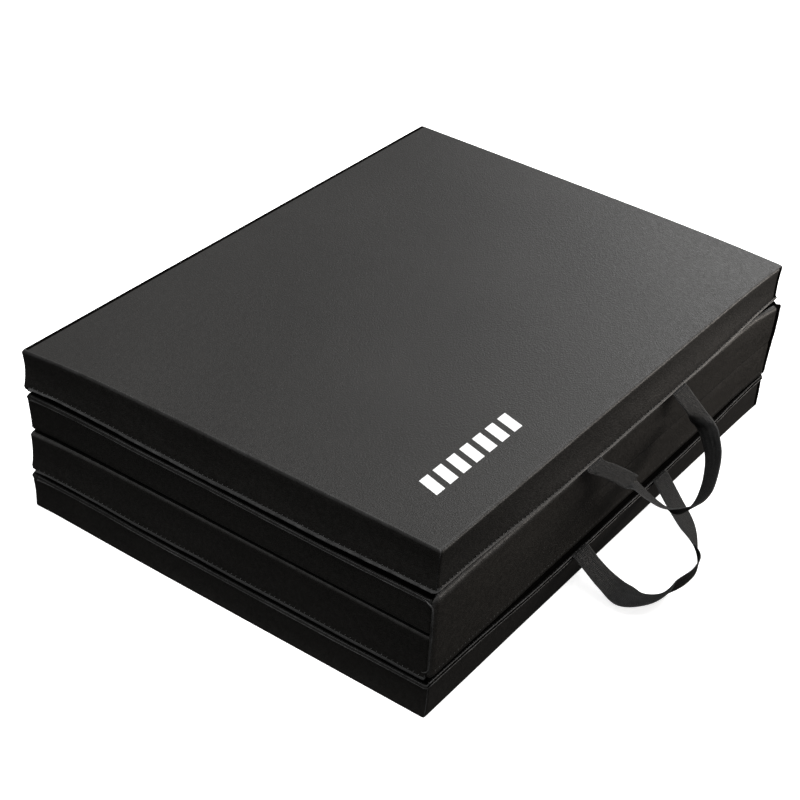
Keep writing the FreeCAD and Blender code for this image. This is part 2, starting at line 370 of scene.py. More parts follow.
def leatherette(name, dark, light, rubbed_and_lit, roughness, grain=1.0, spec=0.5):
    """Fine-grained synthetic leather, paler and smoother where scuffed and where a highlight is
    painted.
    """
    material, tree, shader = new_material(name, Specular_IOR_Level=spec)
    place = add_node(tree, "TexCoord").outputs["Object"]
    cloudy = noise(tree, place, 7.0, 4.0)
    mottle = noise(tree, place, 240.0, 3.0)
    pores = noise(tree, place, 2600.0, 2.0)
    crease = noise(tree, place, 38.0, 5.0, Distortion=0.6)
    scuffs = noise(tree, place, 90.0, 6.0, Roughness=0.7)
    pebble = add_node(tree, "TexVoronoi", {"Vector": place, "Scale": 720.0}, feature="SMOOTH_F1")
    base = ramp(tree, cloudy, [(0.3, dark), (0.7, light)])
    speckle = scale_range(tree, mottle, 0.3, 0.7, 0.8, 1.2)
    plain = add_node(tree, "VectorMath", {0: base, "Scale": speckle}, operation="SCALE")
    # this attribute carries scuffing by use and painted highlight: both mix in the paler colour
    # and lower the roughness
    wear = add_node(tree, "Attribute", attribute_name="wear").outputs["Fac"]
    patchy = scale_range(tree, scuffs, 0.4, 0.65, 0.25, 1.0)
    worn_and_lit = maths(tree, "MULTIPLY", wear, patchy, use_clamp=True)
    colour = mix_colours(tree, worn_and_lit, plain.outputs["Vector"], rubbed_and_lit)
    gloss = scale_range(tree, mottle, 0.3, 0.7, roughness - 0.05, roughness + 0.07)
    smoother = maths(tree, "MULTIPLY_ADD", worn_and_lit, -0.14, gloss)
    folds = bump(tree, crease, 0.07, 0.0012)
    grains = bump(tree, pebble.outputs["Distance"], 0.75 * grain, 0.0003, folds)
    fine = bump(tree, pores, 0.5 * grain, 0.00008, grains)
    connect(tree, shader, colour, smoother, fine)
    return material


def webbing(name, dark, light, edge, roughness=0.55, pitch=0.0016):
    """Woven polypropylene: rows of slanted yarns that follow the strap's own map."""
    material, tree, shader = new_material(name, Specular_IOR_Level=0.18)
    uv = add_node(tree, "UVMap", uv_map="strap").outputs["UV"]
    parts = add_node(tree, "SeparateXYZ", {"Vector": uv})
    along, across = parts.outputs["X"], parts.outputs["Y"]
    slanted = maths(tree, "ADD", along, maths(tree, "PINGPONG", across, 2 * pitch))
    weft, warp = (
        maths(tree, "SINE", maths(tree, "MULTIPLY", value, 2 * math.pi / pitch))
        for value in (slanted, across)
    )
    height = maths(tree, "ADD", weft, maths(tree, "MULTIPLY", weft, warp))
    place = add_node(tree, "TexCoord").outputs["Object"]
    fuzz = noise(tree, place, 900.0, 4.0)
    patches = noise(tree, place, 330.0, 4.0)
    shade = scale_range(tree, height, -1.6, 1.6, 0.0, 1.0)
    lit = maths(tree, "MULTIPLY", shade, patches, use_clamp=True)
    base = ramp(tree, lit, [(0.05, dark), (0.6, light)])
    wear = add_node(tree, "Attribute", attribute_name="wear").outputs["Fac"]
    worn_and_lit = maths(tree, "MULTIPLY", wear, fuzz, use_clamp=True)
    rough = scale_range(tree, fuzz, 0.3, 0.7, roughness - 0.08, roughness + 0.1)
    yarns = bump(tree, height, 0.8, 0.0003)
    fibres = bump(tree, fuzz, 0.3, 0.0002, yarns)
    connect(tree, shader, mix_colours(tree, worn_and_lit, base, edge), rough, fibres)
    return material


def speckled(name, dark, light, roughness, scale, depth, metallic=0.0):
    """A plain finish with fine mottling: foam, thread, enamel, ink or woven tape."""
    material, tree, shader = new_material(name, Metallic=metallic)
    place = add_node(tree, "TexCoord").outputs["Object"]
    grain = noise(tree, place, scale, 4.0)
    base = ramp(tree, grain, [(0.35, dark), (0.65, light)])
    rough = scale_range(tree, grain, 0.3, 0.7, roughness - 0.06, roughness + 0.08)
    connect(tree, shader, base, rough, bump(tree, grain, 0.5, depth))
    return material


def grey(level):
    return (level, level, level)


# The fourth colour of each leather is the paler one of scuffing and painted highlight
COVER = leatherette(
    "cover leather", (0.0085, 0.0078, 0.0070), (0.0120, 0.0112, 0.0102), grey(0.08), 0.48, spec=0.3
)
HINGE = leatherette(
    "hinge leather", (0.0105, 0.0092, 0.0078), (0.0150, 0.0132, 0.0112), grey(0.075), 0.50,
    spec=0.3,
)
WELT = leatherette(
    "welt leather", grey(0.010), grey(0.018), grey(0.085), 0.48, grain=0.6, spec=0.32
)
# Painted shade: near-black and without specular, on seams, gaps and turned-away rims where shade
# falls
FOLD_SHADE = leatherette(
    "painted fold shade", (0.0016, 0.0015, 0.0014), (0.0026, 0.0024, 0.0022), grey(0.02), 0.80,
    grain=0.5, spec=0.0,
)
# Painted shade: dimmer and duller, on lapped shoulders under the panel above, panel 1's left edge
# and the facing's crease
LAP_SHADE = leatherette(
    "painted lap shade", (0.006, 0.0056, 0.0052), (0.009, 0.0085, 0.008), grey(0.05), 0.60, spec=0.16
)
THREAD = speckled("thread", grey(0.035), grey(0.090), 0.50, 1800.0, 0.0001)
STRAP = webbing("webbing", grey(0.001), grey(0.024), grey(0.12))
FOAM = speckled("foam", (0.62, 0.62, 0.60), (0.80, 0.80, 0.78), 0.85, 700.0, 0.0004)
TAPE = speckled("zip tape", grey(0.010), grey(0.028), 0.75, 1500.0, 0.0002)
NYLON = speckled("zip nylon", grey(0.018), grey(0.032), 0.38, 600.0, 0.00005)
METAL = speckled(
    "zip enamel", (0.030, 0.030, 0.031), (0.060, 0.060, 0.062), 0.30, 500.0, 0.00004, 0.6
)
INK = speckled("printed ink", grey(0.72), grey(0.86), 0.45, 1200.0, 0.00003)


# ---------------------------------------------------------------- panels

class Panel:
    """One panel's outline and heights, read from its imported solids."""

    def __init__(self, k):
        low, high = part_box(f"outer_cover_{k}")
        face_low, face_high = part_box(f"inner_face_{k}")
        self.k = k
        self.body = f"panel_{k}"
        self.half_x = (high.x - low.x) / 2
        self.front, self.back = low.y, high.y
        self.half_y = (high.y - low.y) / 2
        self.middle_y = (high.y + low.y) / 2
        self.low = min(low.z, face_low.z)
        self.high = max(high.z, face_high.z)
        self.height = self.high - self.low
        self.sewn_up = face_low.z > low.z
        self.corner = CORNER_R[k]
        self.edge = EDGE_R[k]

    def piece(self, kind, shape, material, slot, **looks):
        """A new piece of this panel, which rides on its body."""
        return new_piece(f"{kind}_{self.k}", shape, material, self.body, slot, **looks)

    def to_z(self, height):
        """Row-frame Z of a height above the sewn edge."""
        return self.high - height if self.sewn_up else self.low + height

    @property
    def up(self):
        """Z direction from the sewn edge to the outer face."""
        return -1.0 if self.sewn_up else 1.0


def facing_share(panel, normal):
    """1 where the tall facing covers the wall, on the fronts of panels 2 and 3."""
    if panel.k not in (2, 3):
        return np.zeros(len(normal))
    return smooth((-normal[:, 1] - 0.35) / 0.25)


def between(pair, rise):
    """The first of a pair at the sewn edge, turning into the second at the outer face."""
    return pair[0] * (1 - rise) + pair[1] * rise


def back_left_ear(panel, x, y, rise):
    """How far the back left corner is pulled out along -X, close to the corner only."""
    reach = np.hypot(x + panel.half_x, y - panel.back)
    tuck = 1 - 0.8 * smooth((rise - 0.93) / 0.07) if panel.k in (2, 3) else 1.0
    return np.exp(-reach / (45 * MM)) * between(BACK_LEFT_EAR[panel.k], rise) * tuck


def out_of_square(panel, x, y, height):
    """How far a point of a panel is moved in plan: no panel is a perfect block."""
    u = x / panel.half_x
    v = (y - panel.middle_y) / panel.half_y
    rise = np.clip(height / panel.height, 0, 1)
    shift = BACK_LEFT[panel.k]
    flare_x, flare_y = BACK_RIGHT_FLARE[panel.k]
    to_back = np.clip(1 + v, 0, 2)
    back_left = np.clip(1 - u, 0, 2) / 2 * to_back / 2
    back_right = np.clip(1 + u, 0, 2) / 2 * to_back / 2 * smooth(rise * 2.6 - 1.6)
    reach = np.hypot(x - panel.half_x, y - panel.front)
    ear = np.exp(-reach / (22 * MM)) * between(FRONT_RIGHT_EAR[panel.k], rise)
    dx = back_left * between(shift[:, 0], rise) + back_right * flare_x + 0.8 * ear
    dx -= back_left_ear(panel, x, y, rise)
    dy = back_left * between(shift[:, 1], rise) + back_right * flare_y - 0.6 * ear
    return np.column_stack([dx, dy])


def outer_sag(panel, x, y):
    """How far the outer edge droops at the front right corner of panel 1."""
    if panel.k != 1:
        return np.zeros(len(x))
    reach = np.hypot(x - panel.half_x, y - panel.front)
    return 5.0 * MM * np.exp(-reach / (65 * MM))


def end_flare(panel, x, y, height):
    """How far the left end is moved out at the outer edge, in x."""
    along = np.clip(1 - np.clip((y - panel.middle_y) / panel.half_y, 0, 1) ** 3, 0.3, 1)
    fade = 25 * MM if panel.k == 1 else 10 * MM
    near_edge = np.exp(-np.clip(panel.height - height, 0, None) / fade)
    reach = smooth((np.abs(x) / panel.half_x - 0.9) / 0.1)
    return np.sign(x) * END_FLARE[panel.k] * along * near_edge * reach * (x < 0)


def corner_sag(panel, x, y):
    """How far the sewn edge sags at the front right corner of panel 2."""
    if panel.k != 2:
        return np.zeros(len(x))
    along = smooth((x - 0.240) / 0.058)
    near = smooth((panel.front + 45 * MM - y) / (45 * MM))
    return 5.2 * MM * along * near


def place(panel, base, normal, inset, height):
    """Points on a panel's soft wall.

    base and normal say where on the outline; inset is how far inside it, and height
    how far from the sewn edge. The seam swells, sinks and wanders here, and every
    welt, stitch and strip that uses this follows it.
    """
    k, x, y = panel.k, base[:, 0], base[:, 1]
    inset = np.minimum(np.broadcast_to(inset, len(base)), panel.corner - 0.15 * MM)
    height = np.broadcast_to(height, len(base)).astype(float)
    rise = np.clip(height / (panel.height - panel.edge), 0, 1)
    bow = 4 * rise * (1 - rise)    # 1 half way up the wall
    front = np.clip(-normal[:, 1], 0, 1) ** 2
    left = np.clip(-normal[:, 0], 0, 1) ** 2
    spot = np.stack([x, y, height * 2 + k], axis=1)
    along = np.stack([x, y, np.full(len(base), k)], axis=1)
    near_seam = np.exp(-height / (9 * MM))
    near_fold = np.exp(-(panel.height - height) / (7 * MM))
    near_fold *= 1 - np.clip(inset / panel.edge, 0, 1)

    out = SEAM_SWELL[k] * front * smooth((0.285 - np.abs(x - 0.01)) / 0.17) * (1 - rise) ** 1.25
    out -= WALL_SINK[k] * (1 - 0.75 * front) * bow
    out += 0.35 * MM * waves(spot, 9, 10 + k) * bow
    out += 0.25 * MM * waves(along, 22, 70 + k) * near_seam
    plan = base + normal * (panel.corner - inset + out)[:, None]
    plan[:, 0] += end_flare(panel, plan[:, 0], plan[:, 1], height)
    plan += out_of_square(panel, plan[:, 0], plan[:, 1], height)

    lift = SEAM_WANDER[k] * (0.5 + 0.5 * np.clip(waves(along, 9, 30 + k), -1, 1)) * near_seam
    drop = EDGE_WANDER[k] * (0.5 + 0.5 * np.clip(waves(along, 7, 50 + k), -1, 1)) * near_fold
    sag = corner_sag(panel, plan[:, 0], plan[:, 1]) * np.exp(-height / (14 * MM))
    hang = left * np.interp(y, SEAM_HANG_PLACES, SEAM_HANG[k])
    if k == 4:    # towards both ends of its front, this seam keeps back
        hang -= 2.0 * MM * front * smooth((np.abs(x) - 0.14) / 0.13)
    hang *= np.exp(-height / SEAM_HANG_DEPTH[k])
    if k == 1:    # and this one towards the left end
        hang -= 1.9 * MM * front * smooth((-0.07 - x) / 0.14) * near_seam
    droop = outer_sag(panel, plan[:, 0], plan[:, 1]) * rise
    return np.column_stack([plan, panel.to_z(height + lift - drop + sag - hang - droop)])


def outline_at(panel, run):
    """Base points and outward normals at distances along the outline.

    run is 0 in the middle of the front and grows towards +X, round the front corner
    and along the end wall.
    """
    run = np.asarray(run, float)
    core = panel.half_x - panel.corner
    way = np.where(run < 0, -1.0, 1.0)
    distance = np.abs(run)
    angle = np.clip((distance - core) / panel.corner, 0, np.pi / 2)
    beyond = np.clip(distance - core - panel.corner * np.pi / 2, 0, None)
    base = np.column_stack([way * np.minimum(distance, core), panel.front + panel.corner + beyond])
    normal = np.column_stack([way * np.sin(angle), -np.cos(angle)])
    return base, normal


def run_to(panel, y):
    """The distance along the outline from the middle of the front to y on an end wall."""
    return panel.half_x - panel.corner * (2 - np.pi / 2) + y - panel.front


def axis_lines(half, corner, cell, stops=()):
    """Mesh lines across a rounded outline: the core position and the share of the corner."""
    core = half - corner
    marks = sorted([-core, BORDER - core, core - BORDER, core, *stops])
    straight = [marks[0]]
    for a, b in zip(marks, marks[1:]):
        straight += list(np.linspace(a, b, max(1, round((b - a) / cell)) + 1)[1:])
    share = np.arange(1, CORNER_LINES + 1) / CORNER_LINES
    cores = np.concatenate([np.full(CORNER_LINES, -core), straight, np.full(CORNER_LINES, core)])
    shares = np.concatenate([-share[::-1], np.zeros(len(straight)), share])
    return cores, shares


def plan_grid(panel, cell, stops=()):
    """Base points and corner directions of a grid that fills a rounded rectangle."""
    core_x, share_x = axis_lines(panel.half_x, panel.corner, cell)
    core_y, share_y = axis_lines(panel.half_y, panel.corner, cell, stops)
    sx, sy = np.meshgrid(share_x, share_y, indexing="ij")
    bx, by = np.meshgrid(core_x, core_y + panel.middle_y, indexing="ij")
    toward = np.stack([sx * np.sqrt(1 - sy ** 2 / 2), sy * np.sqrt(1 - sx ** 2 / 2)], axis=2)
    return np.stack([bx, by], axis=2), toward


def rim_of(shape):
    """Indices of a grid's rim, anticlockwise from its lowest corner."""
    nx, ny = shape[:2]
    rim = [(i, 0) for i in range(nx)]
    rim += [(nx - 1, j) for j in range(1, ny)]
    rim += [(i, ny - 1) for i in range(nx - 2, -1, -1)]
    rim += [(0, j) for j in range(ny - 2, 0, -1)]
    return np.array(rim)


def join_rings(ring, following):
    """Quads between two closed rings of vertex numbers."""
    return list(zip(np.roll(ring, -1), np.roll(following, -1), following, ring))


def face_rise(panel, x, y):
    """How far the outer face stands above its edge."""
    u = np.clip(np.abs(x) / panel.half_x, 0, 1)
    v = np.clip(np.abs(y - panel.middle_y) / panel.half_y, 0, 1)
    shape = (1 - u ** 4) * (1 - v ** 4)
    spot = np.column_stack([x, y, np.full(len(x), panel.k)])
    ripple = 0.35 * MM if panel.k == 1 else 0.1 * MM
    uneven = ripple * waves(spot, 4.5, 90 + panel.k) if panel.k != 4 else 0
    return shape * (FACE_CROWN[panel.k] + uneven)


def wall_rows(panel):
    """(height, inset, wear) of the cover's rows, from the folded edge down to the seam. The last
    is scuffing round the folded edge and a painted highlight on the ridge of a lapped shoulder.
    """
    top = panel.height - panel.edge
    middle = panel.height / 2
    rows = []
    for angle in np.radians((15, 30, 45, 60, 75, 90)):
        rows.append((top + panel.edge * math.cos(angle), panel.edge * (1 - math.sin(angle)),
                     0.30 * math.sin(2 * angle)))
    for height in np.linspace(top, middle + ZIP_SLOT_HALF, 5)[1:]:
        rows.append((height, 0.0, 0.0))
    for height in (1.5 * MM, -1.5 * MM, -ZIP_SLOT_HALF):
        rows.append((middle + height, 0.0, 0.0))
    for height in np.linspace(middle - ZIP_SLOT_HALF, 9.6 * MM, 4)[1:]:
        rows.append((height, 0.0, 0.0))
    if panel.sewn_up:    # a lapped shoulder slopes in from its own stitched edge
        rest = [(8.9, 0.15, 0.0), (8.4, 0.45, 0.0), (8.05, 0.50, 0.0), (7.9, 0.0, 0.1),
                (7.8, -0.55, 0.4), (7.5, -0.80, 0.5), (7.1, -0.80, 0.3), (6.4, -0.45, 0.15),
                (5.6, 0.15, 0.15), (4.9, 0.75, 0.15), (4.2, 1.40, 0.1), (3.7, 2.10, 0.05),
                (3.4, 3.00, 0.0), (3.2, 4.20, 0.0), (3.0, 5.20, 0.0), (1.9, 5.20, 0.0),
                (0.7, 5.20, 0.0)]
    else:
        rest = [(7.7, 0.05, 0.0), (6.4, 0.12, 0.0), (5.0, 0.22, 0.0), (3.8, 0.32, 0.0),
                (2.8, 0.40, 0.0), (1.6, 0.40, 0.0), (0.9, 0.60, 0.0), (0.7, 1.30, 0.0),
                (0.6, 2.40, 0.0), (0.6, 3.40, 0.0)]
    rows += [(h * MM, inset * MM, wear) for h, inset, wear in rest]
    return rows


def painted_shade_faces(panel, above, below, base, normal):
    """Per column, the painted shade between two rows: 0 none, 1 near-black in seams, gaps and
    turned-away rims, 2 dimmer on lapped shoulders and on panel 1's left edge.
    """
    front = (normal[:, 1] < -0.7) & ((base[:, 0] < 0.25) | (panel.k == 4))
    if panel.sewn_up:
        shaded = np.where(front, above < 7.2 * MM, above < 4.6 * MM)
        lapped = np.full(len(base), above < 7.2 * MM)
    else:
        shaded = np.full(len(base), above < 1.0 * MM)
        lapped = np.zeros(len(base), bool)
    if panel.k == 1:
        shaded |= (normal[:, 1] > 0.9) & (below > panel.height - panel.edge - 0.1 * MM)
        lapped |= (normal[:, 0] < -0.9) & (above < panel.height - 0.13 * panel.edge) & (
            below > panel.height - panel.edge - 0.1 * MM)
    elif panel.k in (2, 3):
        shaded |= below > panel.height - 0.42 * panel.edge
    right = (base[:, 0] > panel.half_x - panel.corner - BORDER - 4.3 * MM) & (normal[:, 1] < -0.1)
    shaded |= right & (base[:, 1] < panel.front + 12 * MM) & (above < panel.height - 0.5 * MM)
    return np.where(shaded, 1, np.where(lapped, 2, 0))


def foam_rows(panel):
    """(height, inset, wear) of the foam block's rows, which stop inside the cover's folds."""
    kept = [row for row in wall_rows(panel) if row[0] > 9 * MM]
    return kept + [(7.4 * MM, 1.0 * MM, 0.0), (6.0 * MM, 3.2 * MM, 0.0)]


def zip_ends(panel):
    """Where the zip's slot ends, from the middle of the panel's depth."""
    return (-ZIP_HALF - panel.middle_y, ZIP_HALF - panel.middle_y)


def soft_shell(panel, cell, sink=0.0, slot=False):
    """Shape, wear with painted highlight, and faces in painted shade of a cover: its outer face
    and four soft walls.
    """
    base, toward = plan_grid(panel, cell, zip_ends(panel))
    nx, ny = base.shape[:2]
    plan = (base + toward * (panel.corner - panel.edge)).reshape(-1, 2)
    plan *= 1 - sink / panel.half_y
    outer = np.full(len(plan), panel.height)
    rise = face_rise(panel, plan[:, 0], plan[:, 1]) - outer_sag(panel, plan[:, 0], plan[:, 1])
    plan[:, 0] += end_flare(panel, plan[:, 0], plan[:, 1], outer)
    plan += out_of_square(panel, plan[:, 0], plan[:, 1], outer)
    points = [np.column_stack([plan, panel.to_z(panel.height - sink + rise)])]
    wear = [np.zeros(len(plan))]
    faces = [
        (i * ny + j, (i + 1) * ny + j, (i + 1) * ny + j + 1, i * ny + j + 1)
        for i in range(nx - 1) for j in range(ny - 1)
    ]
    # painted shade: the back rim of panel 1's outer face takes the near-black leather
    at_back = base[:, :, 1] > panel.back - panel.corner - 1.01 * BORDER
    shades = [
        int(panel.k == 1 and at_back[i, j] and at_back[i, j + 1])
        for i in range(nx - 1) for j in range(ny - 1)
    ]
    rim = rim_of(base.shape)
    rim_base = base[rim[:, 0], rim[:, 1]]
    rim_normal = toward[rim[:, 0], rim[:, 1]]
    previous = rim[:, 0] * ny + rim[:, 1]
    in_slot_column = (rim_normal[:, 0] > 0.99) & (np.abs(rim_base[:, 1]) <= ZIP_HALF + 1e-6)
    slot_low = panel.height / 2 - ZIP_SLOT_HALF - 1e-6
    slot_high = panel.height / 2 + ZIP_SLOT_HALF + 1e-6
    above = panel.height
    start = len(plan)
    for height, inset, rubbed_and_lit in foam_rows(panel) if sink else wall_rows(panel):
        row = place(panel, rim_base, rim_normal, inset + sink, min(height, panel.height - sink))
        current = start + np.arange(len(rim))
        shaded = painted_shade_faces(panel, above, height, rim_base, rim_normal)
        for c in range(len(rim)):
            d = (c + 1) % len(rim)
            opening = slot and in_slot_column[c] and in_slot_column[d]
            if opening and above <= slot_high and height >= slot_low:
                continue
            faces.append((previous[c], current[c], current[d], previous[d]))
            shades.append(int(min(shaded[c], shaded[d])))
        points.append(row)
        wear.append(np.full(len(rim), rubbed_and_lit))
        previous = current
        above = height
        start += len(rim)
    if panel.sewn_up:
        faces = [tuple(reversed(f)) for f in faces]
    return (np.concatenate(points), faces), np.concatenate(wear), shades


def make_cover(panel):
    shape, wear, shades = soft_shell(panel, CELL, slot=True)
    piece = panel.piece("cover", shape, COVER, "cover_leather", wear=wear, shades=shades)
    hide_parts(f"outer_cover_{panel.k}")


def make_foam(panel):
    """The foam block: the cover's own shape, drawn in, with its open side closed."""
    cell = 3 * CELL
    (points, faces), _, _ = soft_shell(panel, cell, sink=2.2 * MM)
    rim_count = len(rim_of(plan_grid(panel, cell, zip_ends(panel))[0].shape))
    last = tuple(range(len(points) - rim_count, len(points)))
    faces.append(last if panel.sewn_up else tuple(reversed(last)))
    points[:, 2] = np.clip(points[:, 2], panel.low + 1.6 * MM, panel.high - 1.6 * MM)
    piece = panel.piece("foam", (points, faces), FOAM, "foam")
    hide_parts(f"foam_core_{panel.k}")


def make_inner_face(panel):
    """The sheet that closes the sewn side, turned over its edge into the seam."""
    base, toward = plan_grid(panel, 2 * CELL)
    nx, ny = base.shape[:2]
    plan = (base + toward * (panel.corner - 3.4 * MM)).reshape(-1, 2)
    spot = np.column_stack([plan, plan[:, 0]])
    ripple = 0.5 + 0.5 * np.clip(waves(spot, 6, 110 + panel.k), -1, 1)
    u = np.abs(plan[:, 0]) / panel.half_x
    v = np.abs(plan[:, 1] - panel.middle_y) / panel.half_y
    edge = (1 - u ** 6) * (1 - v ** 6)
    plan += out_of_square(panel, plan[:, 0], plan[:, 1], np.zeros(len(plan)))
    sag = corner_sag(panel, plan[:, 0], plan[:, 1])
    points = [np.column_stack([plan, panel.to_z(0.30 * MM * ripple * edge + sag)])]
    faces = [
        (i * ny + j, i * ny + j + 1, (i + 1) * ny + j + 1, (i + 1) * ny + j)
        for i in range(nx - 1) for j in range(ny - 1)
    ]
    rim = rim_of(base.shape)
    previous = rim[:, 0] * ny + rim[:, 1]
    start = len(plan)
    rim_base = base[rim[:, 0], rim[:, 1]]
    rim_normal = toward[rim[:, 0], rim[:, 1]]
    ring = CORNER_LINES + 1
    # painted shade: the outer cells and the turned-over rows take the near-black leather, where
    # the sewn side lies in shade
    shades = [
        int(min(i, nx - 2 - i) < ring or min(j, ny - 2 - j) < ring)
        for i in range(nx - 1) for j in range(ny - 1)
    ]
    # (height, inset) of the turned-over rows
    if panel.sewn_up:
        turned = ((0.2, 3.4), (0.7, 3.4), (1.4, 3.4))
    else:
        turned = ((0.15, 2.2), (0.5, 1.3), (1.1, 0.75))
    for height, inset in turned:
        points.append(place(panel, rim_base, rim_normal, inset * MM, height * MM))
        current = start + np.arange(len(rim))
        faces += join_rings(previous, current)
        shades += [1] * len(rim)
        previous = current
        start += len(rim)
    if panel.sewn_up:
        faces = [tuple(reversed(f)) for f in faces]
    shape = np.concatenate(points), faces
    piece = panel.piece("inner_face_sheet", shape, COVER, "cover_leather", shades=shades)
    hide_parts(f"inner_face_{panel.k}")


def make_welt(panel):
    """The folded strip that stands out of the sewn edge on the ends and the front.

    On panels 1 and 3 it is the lowest thing on the wall. On panels 2 and 4 it is the
    thin rolled edge of the lapped shoulder.
    """
    stop = run_to(panel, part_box(f"edge_welt_{panel.k}")[1].y)
    run = np.linspace(-stop, stop, 620)
    base, normal = outline_at(panel, run)
    spot = np.column_stack([base, run])
    proud = -FACING_SINK * facing_share(panel, normal)
    tip = np.exp(-(stop - np.abs(run)) / (7 * MM))
    # (how far it stands out, height, wear) round the strip, in millimetres; the last is scuffing
    # and a painted highlight on the rolled edges
    if panel.sewn_up:    # two rolled edges with a groove between them
        section = [(0.1, 8.3, 0.0), (0.75, 8.25, 0.1), (1.15, 7.95, 0.9), (1.15, 7.6, 1.0),
                   (0.7, 7.3, 0.4), (0.1, 7.0, 0.0), (-0.2, 6.4, 0.0), (-0.3, 5.8, 0.0),
                   (0.1, 5.4, 0.5), (0.15, 5.0, 0.9), (-0.3, 4.7, 0.6), (-0.9, 4.6, 0.1),
                   (-1.3, 4.9, 0.0)]
    else:
        section = [(-0.3, 0.4, 0.0), (0.4, 0.35, 0.0), (0.85, 0.5, 0.2), (1.1, 0.85, 0.9),
                   (1.1, 1.3, 1.0), (0.9, 1.8, 0.8), (0.6, 2.3, 0.55), (0.3, 2.8, 0.4),
                   (-0.3, 3.1, 0.1)]
    section = np.array(section)
    if panel.k == 3:    # this one is narrower
        section[:, 1] *= 0.62
    flat = 0.15 * MM * waves(spot, 30, 130 + panel.k)
    front = np.clip(-normal[:, 1], 0, 1) ** 2
    rings = []
    for out, height, _ in section:
        slim = 1 - 0.75 * front * ((not panel.sewn_up) and height > 1.6 and out > 0)
        stand = out * MM * slim * (1 + 1.2 * tip) + proud + (flat if out > 0.1 else 0)
        rings.append(place(panel, base, normal, -stand, height * MM))
    sections = np.stack(rings, axis=1)
    # painted highlight along the rolled edges, with scuffing: patchy, fainter on panels 2 and 3
    # and on the fronts of panels 1 and 4
    patch = smooth(waves(spot, 8, 150 + panel.k) + 0.8)
    dull = 0.25 if panel.k == 3 else 1.0
    wear = section[None, :, 2] * (dull * (0.5 + 0.5 * patch))[:, None]
    if panel.k == 1:
        wear *= 1 - front[:, None] * np.where(section[:, 1] > 1.6, 1.0, 0.3)
    if panel.k == 2:
        wear *= 0.5
    elif panel.k == 4:
        wear *= 1 - 0.8 * (front * smooth((base[:, 0] + 0.02) / 0.15))[:, None]
    if not panel.sewn_up:
        sections, wear = sections[:, ::-1], wear[:, ::-1]
    piece = panel.piece("welt", tube(sections), WELT, "welt", wear=wear.ravel())
    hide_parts(f"edge_welt_{panel.k}")


def seam_frame(panel, run, height, proud):
    """Centres, directions along the seam, and outward normals of a row of stitches."""
    base, normal = outline_at(panel, run)
    stand = proud - FACING_SINK * facing_share(panel, normal)
    centres = place(panel, base, normal, -stand, height)
    ahead = place(panel, *outline_at(panel, run + 0.5 * MM), -stand, height)
    outward = np.column_stack([normal, np.zeros(len(run))])
    return centres, unit(ahead - centres), outward


def make_stitching(panel):
    """Upright stitches over the welts of panels 1 and 3, and across the others' shoulders."""
    stop = run_to(panel, panel.back - 12 * MM)
    run = np.arange(-stop, stop, STITCH_PITCH)
    if panel.sewn_up:
        lower, _, outward = seam_frame(panel, run, 5.4 * MM, 0.1 * MM)
        upper, along, _ = seam_frame(panel, run, 3.9 * MM, -1.55 * MM)
        slope = unit(upper - lower)
        facing_out = unit(np.cross(along, slope))
        facing_out *= np.sign((facing_out * outward).sum(axis=1))[:, None]
        shape = beads((upper + lower) / 2, slope, facing_out, 2.2 * MM, 0.34 * MM)
    else:
        height = 2.3 * MM if panel.k == 3 else 3.2 * MM
        centres, along, outward = seam_frame(panel, run, height, 0.15 * MM)
        slanted = unit(np.array([0.0, 0.0, 1.0]) + 0.3 * along)
        shape = beads(centres, slanted, outward, 2.3 * MM, 0.38 * MM)
    panel.piece("stitching", shape, COVER if panel.sewn_up else THREAD, "welt")


def make_corner_seams(panel):
    """A fine raised seam up each corner that the facing doesn't cover."""
    low = 8.6 * MM if panel.sewn_up else 3.0 * MM
    heights = np.linspace(low, panel.height - 0.6 * MM, 44)
    over = np.clip(heights - (panel.height - panel.edge), 0, None)
    inset = panel.edge - np.sqrt(np.clip(panel.edge ** 2 - over ** 2, 0, None))
    near_top = smooth((heights - panel.height + 9 * MM) / (5 * MM))
    turn = np.linspace(0, 2 * np.pi, 8, endpoint=False)
    parts, wear = [], []
    for side in (-1, 1):
        for end in (-1, 1):
            if end < 0 and panel.k in (2, 3):
                continue
            core = (side * (panel.half_x - panel.corner),
                    panel.middle_y + end * (panel.half_y - panel.corner))
            normal = unit(np.array([side, end], float))
            base, normals = (np.tile(pair, (len(heights), 1)) for pair in (core, normal))
            spine = place(panel, base, normals, inset + 0.15 * MM, heights)
            across = np.array([-normal[1], normal[0], 0.0])
            out = np.array([normal[0], normal[1], 0.0])
            ring = across * np.cos(turn)[:, None] + out * np.sin(turn)[:, None]
            parts.append(tube(spine[:, None] + 0.45 * MM * ring[None]))
            # painted highlight with scuffing: bright near the top of panel 1's corners, even on
            # the other panels
            wear.append(np.repeat(near_top if panel.k == 1 else np.full(len(heights), 0.55), 8))
    panel.piece("corner_seams", merge(parts), WELT, "welt", wear=np.concatenate(wear))


# ---------------------------------------------------------------- hinge cloths

